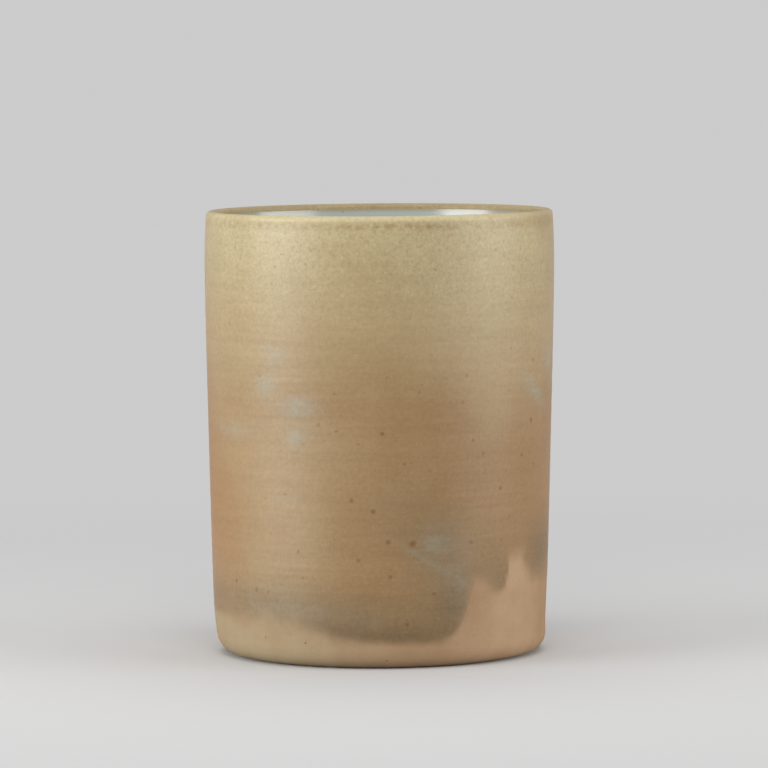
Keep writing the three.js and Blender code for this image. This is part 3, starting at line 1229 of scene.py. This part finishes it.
@dataclass
class SlipCoat:
    """The slip on the outside wall and over the lip.

    Its rows turn from outside to inside the lip between two counts from the highest one. The crest's paler
    wear and its painted highlight are strongest at the front, and fall to their least strength past their
    reach, in radians.
    """

    form: CupForm
    edge: SlipEdge
    finish: FlashedSlip
    thickness: float = 0.05 * MM
    sunk: float = 0.04 * MM
    back_sunk: float = 0.05 * MM
    feather: float = 3 * MM
    feather_columns: int = 4
    swell: float = 4 * MM
    ridge_fade: float = 3 * MM
    tuck: float = 0.2 * MM
    level_height: float = 32 * MM
    low_steps: int = 72
    wall_steps: int = 170
    lip_steps: int = 24
    drop_steps: int = 8
    back_steps: int = 12
    ash_start: float = 60 * MM
    ash_full: float = 98 * MM
    inside_rows: tuple[int, int] = (-4, 6)
    inside_ash_loss: float = 0.3
    # Where the crest's wear and painted highlight lie, and how they fade round the cup.
    crest_band: Span = (100.6 * MM, 101.5 * MM)
    crest_least: float = 0.08
    crest_gain: float = 0.77
    crest_reach: float = 0.85
    crest_squareness: int = 4
    crisp_edge: float = 1.4 * MM
    soft_edge: float = 4 * MM
    soft_parts: tuple[Smudge, ...] = (
        Smudge(-38, 10, 15, 20),
        Smudge(36, 17, 8, 6, 0.3),
        Smudge(33, 19, 4, 5, 0.35),
        Smudge(53, 26, 3.5, 4, 0.6),
        Smudge(73, 19, 8, 12, 0.45),
        Smudge(60, 22, 5, 8, 0.4),
        Smudge(180, 10, 30, 20, 0.5),
    )
    # Peach patches. Those on the left and right are painted sheen, paler where light would shine off the
    # slip.
    flushes_and_sheen: tuple[Smudge, ...] = (
        Smudge(-50, 40, 29, 45, 0.95),
        Smudge(55, 68, 16, 16, 0.7),
        Smudge(20, 75, 24, 14, 0.4),
        Smudge(150, 50, 20, 30, 0.7),
        Smudge(-140, 55, 20, 20, 0.5),
    )
    # Places with less ash. Those at the front and at the left and right edges, seen from the front, are
    # painted shade.
    ash_gaps_and_shade: tuple[Smudge, ...] = (
        Smudge(0, 100, 18, 40, 0.12),
        Smudge(80, 96, 12, 14, 0.4),
        Smudge(64, 100.5, 13, 4, 0.28),
        Smudge(-88, 92, 10, 20, 0.4),
        Smudge(170, 90, 20, 14, 0.25),
    )
    # Orange patches. Those at the left and right sides, seen from the front, are painted shade that darkens
    # and warms those edges.
    embers_and_shade: tuple[Smudge, ...] = (
        Smudge(-90, 35, 20, 25, 0.65),
        Smudge(-66, 32, 12, 16, 0.2),
        Smudge(-96, 74, 14, 30, 0.3),
        Smudge(97, 40, 20, 22, 0.55),
        Smudge(86, 26, 9, 9, 0.4),
        Smudge(96, 74, 14, 28, 0.25),
        Smudge(158, 38, 14, 18, 0.5),
    )
    smoke_patches: tuple[Smudge, ...] = (
        Smudge(6, 7.2, 16, 2.6, 0.4),
        Smudge(4, 9.5, 21, 7, 0.54),
        Smudge(25, 15, 5, 7, 0.35),
        Smudge(20, 27, 8, 9, 0.5),
        Smudge(6, 36, 10, 9, 0.18),
        Smudge(-24, 13, 9, 5, 0.15),
        Smudge(-52, 14, 24, 4.5, 0.4),
        Smudge(-78, 14, 10, 4, 0.25),
        Smudge(45, 18.5, 3, 3, 0.35),
        Smudge(40, 23, 6, 6, 0.3),
        Smudge(74, 25, 10, 7, 0.72),
        Smudge(-20, 9, 9, 2.4, 0.25, -10),
        Smudge(-38, 19, 16, 6, 0.15),
        Smudge(29, 16, 4, 6, 0.22),
        Smudge(128, 17, 16, 5, 0.5),
        Smudge(178, 13, 18, 5, 0.5),
        Smudge(222, 15, 18, 5, 0.5),
    )
    hazes: tuple[Smudge, ...] = (
        Smudge(-27.3, 59.3, 4.2, 2.2, 0.55),
        Smudge(-27.8, 52.6, 3.2, 2, 0.45, 20),
        Smudge(-40, 64.2, 3.2, 2.4, 0.4, 25),
        Smudge(-37, 71, 3.2, 2.4, 0.3),
        Smudge(-57, 53.4, 6.5, 1.6, 0.32),
        Smudge(-32, 38, 4.5, 1, 0.14),
        Smudge(-46, 13.5, 20, 3.5, 0.14),
        Smudge(-12, 11.5, 13, 4, 0.08),
        Smudge(61.5, 61.8, 6, 2, 0.4, -32),
        Smudge(75, 68.5, 3, 2.6, 0.35),
        Smudge(13, 25.8, 7.5, 0.7, 0.24, -29),
        Smudge(27.5, 20, 3.6, 1.6, 0.12, -34),
        Smudge(20, 28.8, 3.4, 3, 0.26, 15),
        Smudge(22, 26, 6, 7, 0.15),
        Smudge(27, 16, 2.5, 5, 0.14),
        Smudge(140, 62, 7, 2, 0.45, 20),
        Smudge(165, 50, 4, 3, 0.45),
        Smudge(-120, 66, 6, 2, 0.45, -25),
    )
    scorches: tuple[Smudge, ...] = (
        Smudge(9, 99.8, 20, 0.7, 0.6),
        Smudge(-60, 99.8, 30, 0.7, 0.18),
        Smudge(75, 99.4, 30, 0.7, 0.2),
        Smudge(68, 100.2, 14, 0.9, 0.2),
        Smudge(-42, 100.3, 9, 0.9, 0.22),
        Smudge(180, 99.6, 45, 0.8, 0.5),
    )

    def wall_rows(self, low_steps: int, wall_steps: int) -> np.ndarray:
        """Heights of the wall's rows for each column.

        The low rows spread evenly from just below the lobed edge up to a level height, and the others are
        level above it.

        Args:
            low_steps: Rows below the level height.
            wall_steps: Rows above it.

        Returns:
            Heights as rows and columns.
        """
        edge = self.edge.height()
        around = [np.roll(edge, step) for step in range(-self.feather_columns, self.feather_columns + 1)]
        start = np.min(around, axis=0) - self.feather
        share = np.linspace(0, 1, low_steps, endpoint=False)[:, None]
        low = start + (self.level_height - start) * share
        level = np.linspace(self.level_height, self.form.lip_height, wall_steps + 1)[:, None]
        return np.vstack([low, np.broadcast_to(level, (wall_steps + 1, COLUMNS))])

    def face(self, heights: np.ndarray, depth: np.ndarray, lip_steps: int) -> tuple[np.ndarray, np.ndarray]:
        """One face of the coat, from the lobed edge up the wall and over the lip.

        Args:
            heights: Heights of the wall's rows for each column.
            depth: How far the face stands out from the clay, for each row and column of the wall.
            lip_steps: Rows round the lip.

        Returns:
            Distance from the axis and height, each as rows and columns.
        """
        outer = self.form.outer_path()
        normal = outward(outer)
        radius = np.interp(heights, outer[:, 1], outer[:, 0])
        out = np.interp(heights, outer[:, 1], normal[:, 0])
        up = np.interp(heights, outer[:, 1], normal[:, 1])
        end = self.form.glaze_line - self.tuck
        inside = self.form.rim_radius - self.form.lip_thickness
        drop = np.linspace([inside, self.form.lip_height], [inside, end], self.drop_steps + 1)
        lip = joined(self.form.lip_path(lip_steps), drop)[1:]
        lip = lip + outward(lip) * depth[-1].mean()
        radius = np.vstack([radius + out * depth, np.broadcast_to(lip[:, :1], (len(lip), COLUMNS))])
        height = np.vstack([heights + up * depth, np.broadcast_to(lip[:, 1:], (len(lip), COLUMNS))])
        return radius, height

    def build(self) -> bpy.types.Object:
        """Wraps the clay: the free face with its fine rows, then the face on the clay on the way back.

        The free face starts a hair inside the clay and swells out to the coat's thickness, so that the edge
        has no step. The other face lies a little deeper.

        Returns:
            The coat, with its tints on its vertices.
        """
        form = self.form
        heights = self.wall_rows(self.low_steps, self.wall_steps)
        full = smooth_step(heights - heights[0], 0, self.swell)
        fade = full * smooth_step(form.lip_height - heights, 0, self.ridge_fade)
        depth = form.bond_gap - self.sunk + (self.thickness + self.sunk) * full
        radius, height = self.face(heights, depth + fade * form.ridges(heights), self.lip_steps)
        back_heights = self.wall_rows(self.back_steps, self.back_steps)
        back_depth = np.full(back_heights.shape, form.bond_gap - self.back_sunk)
        back = self.face(back_heights, back_depth, self.back_steps)
        rings = turned(np.vstack([radius, back[0][::-1]]), np.vstack([height, back[1][::-1]]))
        piece = ring_surface("slip_coat_layer", form.leaned(rings), Ends.LOOP)
        for tint, values in self.tints(height).items():
            paint(piece, tint, values)
        return piece

    def tints(self, height: np.ndarray) -> dict[Tint, np.ndarray]:
        """What the fire did to each point of the free face, and where painted highlight, sheen and shade lie
        on it.

        The cover rises from 0 to 1 across the edge of the slip, over a width that its soft parts set. Ash
        rises with the height. The crest's strength, paler wear with a painted highlight, falls off round the
        cup from the front as a bell with a flat top.

        Args:
            height: Heights of the points, as rows and columns.

        Returns:
            Each tint's strength at each point, from 0 to 1.
        """
        radius = self.form.rim_radius
        patches = {
            # Peach flushing, with painted sheen on the sides.
            Tint.FLUSH_AND_SHEEN: self.flushes_and_sheen,
            # Orange, with painted shade at the sides.
            Tint.EMBER_AND_SHADE: self.embers_and_shade,
            Tint.SMOKE: self.smoke_patches,
            Tint.HAZE: self.hazes,
            # The clay's painted shade and darker patch, for the slip's thin edge.
            Tint.FUME_AND_SHADE: self.finish.clay.fumes_and_shade,
            Tint.SCORCH: self.scorches,
        }
        tints = {tint: smudged(smudges, height, radius) for tint, smudges in patches.items()}
        softness = smudged(self.soft_parts, height, radius)
        half_fade = self.crisp_edge + (self.soft_edge - self.crisp_edge) * softness
        tints[Tint.COVER] = np.clip(0.5 + 0.5 * self.edge.distance(height, radius) / half_fade, 0, 1)
        inside = smooth_step(np.arange(len(height)) - height[:, 0].argmax(), *self.inside_rows)[:, None]
        ash = np.clip((height - self.ash_start) / (self.ash_full - self.ash_start), 0, 1)
        # Less ash where these lie. At the front and at the sides this is painted shade.
        gaps = smudged(self.ash_gaps_and_shade, height, radius)
        tints[Tint.ASH] = ash * (1 - self.inside_ash_loss * inside) * (1 - gaps)
        # The crest's mark is a painted highlight as well as wear: strongest at the front, least at the back.
        away = (angles() + np.pi) % (2 * np.pi) - np.pi
        bell = np.exp(-((away / self.crest_reach) ** self.crest_squareness))
        facing = self.crest_least + self.crest_gain * bell
        tints[Tint.CREST_WEAR_AND_HIGHLIGHT] = (1 - inside) * smooth_step(height, *self.crest_band) * facing
        return tints

    def dress(self, piece: bpy.types.Object) -> None:
        """Gives the slip its finish and its place."""
        seat(piece, Node.SLIP, self.finish.material())


# The studio


@dataclass(frozen=True)
class SoftBox:
    """A large lamp: its bearing and climb from the cup in degrees, its distance, width, height and power.

    A lamp that is not mirrored leaves no highlight.
    """

    name: str
    bearing: float
    climb: float
    distance: float
    width: float
    height: float
    power: float
    mirrored: bool = True


@dataclass
class Studio:
    """Floor, light and camera."""

    lamps: tuple[SoftBox, ...] = (
        SoftBox("left soft box", -66, 8, 0.7, 0.54, 0.34, 3.85),
        SoftBox("right soft box", 72, 8, 0.7, 0.64, 0.34, 2.9),
        SoftBox("front fill", 0, 38, 1.8, 1.6, 1.2, 9.3, mirrored=False),
        SoftBox("top light", 180, 78, 1.2, 1.4, 1.4, 5, mirrored=False),
    )
    aim_height: float = 55 * MM
    ambient: float = 0.3
    backdrop: float = 0.6
    floor_radius: float = 9
    floor_sides: int = 96
    floor_fade: Span = (0.07, 0.4)
    floor_colour: float = 0.7
    floor_bounce: float = 0.5
    floor_rough: float = 0.9
    lens: float = 237.25
    clip: Span = (0.05, 100)
    camera_place: tuple[float, float, float] = (1.05 * MM, -1168.1 * MM, 147.35 * MM)
    camera_pitch: float = 4.188
    camera_roll: float = -0.424

    def build(self) -> None:
        """Sets up everything round the cup."""
        for box in self.lamps:
            self.hang(box)
        self.light_room()
        self.lay_floor()
        self.point_camera()

    def hang(self, box: SoftBox) -> None:
        """Hangs a lamp on its bearing, turned to the cup's middle.

        Args:
            box: The lamp.
        """
        lamp = bpy.data.lights.new(box.name, "AREA")
        lamp.shape = "ELLIPSE"
        lamp.size = box.width
        lamp.size_y = box.height
        lamp.energy = box.power
        holder = bpy.data.objects.new(box.name, lamp)
        bearing, climb = math.radians(box.bearing), math.radians(box.climb)
        level = box.distance * math.cos(climb)
        rise = self.aim_height + box.distance * math.sin(climb)
        holder.location = (level * math.sin(bearing), -level * math.cos(bearing), rise)
        holder.rotation_euler = (math.pi / 2 - climb, 0, bearing)
        holder.visible_camera = False
        holder.visible_glossy = box.mirrored
        bpy.context.scene.collection.objects.link(holder)

    def light_room(self) -> None:
        """An even white room, which shows in a paler tone than the light that it gives."""
        world = bpy.data.worlds.new("room")
        tree = NodeTree(world)
        lit = tree.nodes["Background"]
        tree.feed(lit, {"Color": WHITE, "Strength": self.ambient})
        shown = tree.add("Background", {"Color": WHITE, "Strength": self.backdrop})
        tree.show("World Output", tree.seen_directly(), lit, shown)
        bpy.context.scene.world = world

    def lay_floor(self) -> None:
        """A wide round floor, pale to the eye, that throws less light back up than it shows.

        It melts into the room's own tone with the distance from the cup, and is clear from below.
        """
        turn = np.linspace(0, 2 * np.pi, self.floor_sides, endpoint=False)
        points = np.stack([np.cos(turn), np.sin(turn), 0 * turn], axis=1) * self.floor_radius
        mesh = bpy.data.meshes.new("floor")
        mesh.from_pydata(points, [], [list(range(self.floor_sides))])
        floor = bpy.data.objects.new("floor", mesh)
        bpy.context.scene.collection.objects.link(floor)
        sketch = Sketch("pale floor")
        tone = {"Value": sketch.seen_directly(), "To Min": self.floor_bounce, "To Max": self.floor_colour}
        sketch.feed(sketch.shader, {
            "Base Color": sketch.add("MapRange", tone).outputs["Result"],
            "Roughness": self.floor_rough,
            "Specular IOR Level": 0,
        })
        away = sketch.add("VectorMath", {0: sketch.place}, operation="LENGTH").outputs["Value"]
        below = sketch.add("NewGeometry", {}).outputs["Backfacing"]
        faded = sketch.maths("MAXIMUM", sketch.ramp(away, self.floor_fade), below)
        sketch.show("Material Output", faded, sketch.shader, sketch.add("BsdfTransparent", {}))
        mesh.materials.append(sketch.material)

    def point_camera(self) -> None:
        """A long lens a little above the cup, turned slightly about its own axis."""
        camera = bpy.data.cameras.new("camera")
        camera.lens = self.lens
        camera.clip_start, camera.clip_end = self.clip
        holder = bpy.data.objects.new("camera", camera)
        holder.location = self.camera_place
        pitch, roll = math.radians(self.camera_pitch), math.radians(self.camera_roll)
        # In this order the roll comes first, about the line of sight.
        holder.rotation_mode = "ZXY"
        holder.rotation_euler = (math.pi / 2 - pitch, 0, roll)
        bpy.context.scene.collection.objects.link(holder)
        bpy.context.scene.camera = holder


def main() -> None:
    """Builds the cup's layers in order, then the studio."""
    logging.basicConfig(level=logging.INFO, format="%(name)s: %(message)s")
    form, clay = CupForm(), BareClay()
    slip = FlashedSlip(form, clay)
    layers = (ClayBody(form, clay), LinerCoat(form, PaleGlaze()), SlipCoat(form, SlipEdge(), slip))
    for layer in layers:
        layer.dress(layer.build())
    Studio().build()
    bpy.context.scene.view_settings.view_transform = "Standard"


if __name__ == "__main__":
    main()
